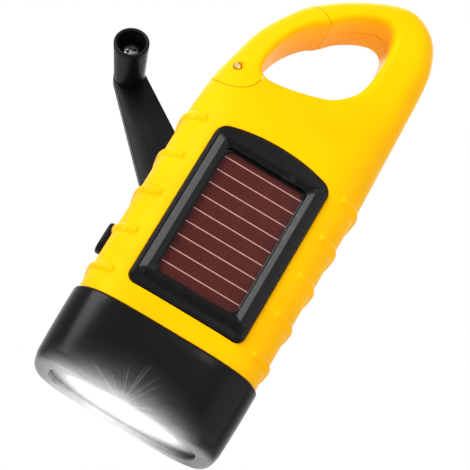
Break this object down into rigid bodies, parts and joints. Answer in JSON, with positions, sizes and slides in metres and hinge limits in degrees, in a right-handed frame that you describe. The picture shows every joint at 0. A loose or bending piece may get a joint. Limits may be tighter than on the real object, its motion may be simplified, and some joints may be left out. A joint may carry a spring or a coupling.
{
  "type": "hand crank flashlight",
  "caption": "Pocket flashlight with a fold-out dynamo crank, a solar cell in its front face and a sprung carabiner ring at its end.",
  "frame": {"origin": "centre of the front face of the lamp's lens, from which the case rises", "axes": "+Z from the lamp to the carabiner ring, -Y out of the solar cell's face, +Y out of the back with the crank"},
  "size_m": [0.0829, 0.0576, 0.1373],
  "materials": {
    "case_yellow": "smooth moulded, bright yellow",
    "black_plastic": "satin moulded black",
    "clear_lens": "clear polished",
    "dark_rubber": "matt",
    "reflector_chrome": "mirror bright",
    "led_lens": "clear epoxy",
    "circuit_board": "green solder mask",
    "solar_cell": "dark red brown under clear resin, with fine pale lines",
    "white_nylon": "natural moulded",
    "bright_steel": "plated",
    "brass_bush": "turned",
    "copper_winding": "lacquered wire",
    "ferrite": "ground",
    "wire_red": "smooth sleeve"
  },
  "bodies": {
    "case": {"front_shell": "case_yellow", "rear_shell": "case_yellow", "gate_pin": "bright_steel", "gate_spring": "bright_steel", "case_screw_1": "bright_steel", "case_screw_2": "bright_steel", "case_screw_3": "bright_steel", "case_screw_4": "bright_steel", "case_screw_5": "bright_steel", "lamp_head": "black_plastic", "lens": "clear_lens", "lens_seal": "dark_rubber", "reflector": "reflector_chrome", "led_1": "led_lens", "led_2": "led_lens", "led_3": "led_lens", "led_board": "circuit_board", "led_cable": "wire_red", "solar_bezel": "black_plastic", "solar_cell": "solar_cell", "solar_cable": "wire_red", "switch_body": "circuit_board", "button_spring": "bright_steel", "hub_bush": "brass_bush", "axle_a": "bright_steel", "axle_b": "bright_steel", "gearbox_plate": "white_nylon", "gearbox_screw_1": "bright_steel", "gearbox_screw_2": "bright_steel", "gearbox_screw_3": "bright_steel", "generator_can": "bright_steel", "generator_coil": "copper_winding", "generator_cable": "wire_red", "main_board": "circuit_board", "charge_chip": "dark_rubber", "capacitor": "copper_winding", "battery_cradle": "white_nylon", "battery_cell_1": "bright_steel", "battery_cell_2": "bright_steel", "battery_cell_3": "bright_steel", "battery_tab_left": "bright_steel", "battery_tab_right": "bright_steel"},
    "crank": {"crank_hub": "black_plastic", "crank_gear": "white_nylon", "hub_circlip": "bright_steel"},
    "arm": {"crank_arm": "black_plastic", "fold_pin": "bright_steel", "knob_screw": "bright_steel"},
    "knob": {"crank_knob": "black_plastic"},
    "first_gear": {"gear_a": "white_nylon"},
    "second_gear": {"gear_b": "white_nylon"},
    "rotor": {"generator_rotor": "ferrite"},
    "gate": {"carabiner_gate": "case_yellow"},
    "button": {"power_button": "black_plastic", "switch_plunger": "white_nylon"}
  },
  "joints": [
    {"name": "crank_spin", "type": "hinge", "parent": "case", "child": "crank", "pos_m": [0, 0.0144, 0.0478], "axis": [0, 1, 0], "continuous": true},
    {"name": "crank_fold", "type": "hinge", "parent": "crank", "child": "arm", "pos_m": [0, 0.0205, 0.0478], "axis": [-0.6794, 0, -0.7337], "range_deg": [-14, 166]},
    {"name": "knob_spin", "type": "hinge", "parent": "arm", "child": "knob", "pos_m": [-0.0477, 0.03671, 0.09197], "axis": [-0.1775, -0.9703, 0.1644], "continuous": true},
    {"name": "gear_a_spin", "type": "hinge", "parent": "case", "child": "first_gear", "pos_m": [-0.00593, 0.008, 0.06501], "axis": [0, 1, 0], "continuous": true},
    {"name": "gear_b_spin", "type": "hinge", "parent": "case", "child": "second_gear", "pos_m": [0.00808, 0.006, 0.07428], "axis": [0, 1, 0], "continuous": true},
    {"name": "rotor_spin", "type": "hinge", "parent": "case", "child": "rotor", "pos_m": [0.00303, 0.001, 0.05826], "axis": [0, 1, 0], "continuous": true},
    {"name": "gate_swing", "type": "hinge", "parent": "case", "child": "gate", "pos_m": [-0.02101, 0, 0.09321], "axis": [0, 1, 0], "range_deg": [0, 30], "stiffness_Nm_per_rad": 0.02, "springref_deg": -28.65, "deforming": ["gate_spring"]},
    {"name": "button_press", "type": "slide", "parent": "case", "child": "button", "axis": [1, 0, 0], "range_m": [0, 0.0012], "stiffness_N_per_m": 1200, "springref_m": -0.0005, "deforming": ["button_spring"]}
  ],
  "couplings": [
    {"joint": "gear_a_spin", "follows": "crank_spin", "ratio": -3.3333},
    {"joint": "gear_b_spin", "follows": "crank_spin", "ratio": 10},
    {"joint": "rotor_spin", "follows": "crank_spin", "ratio": -30}
  ]
}
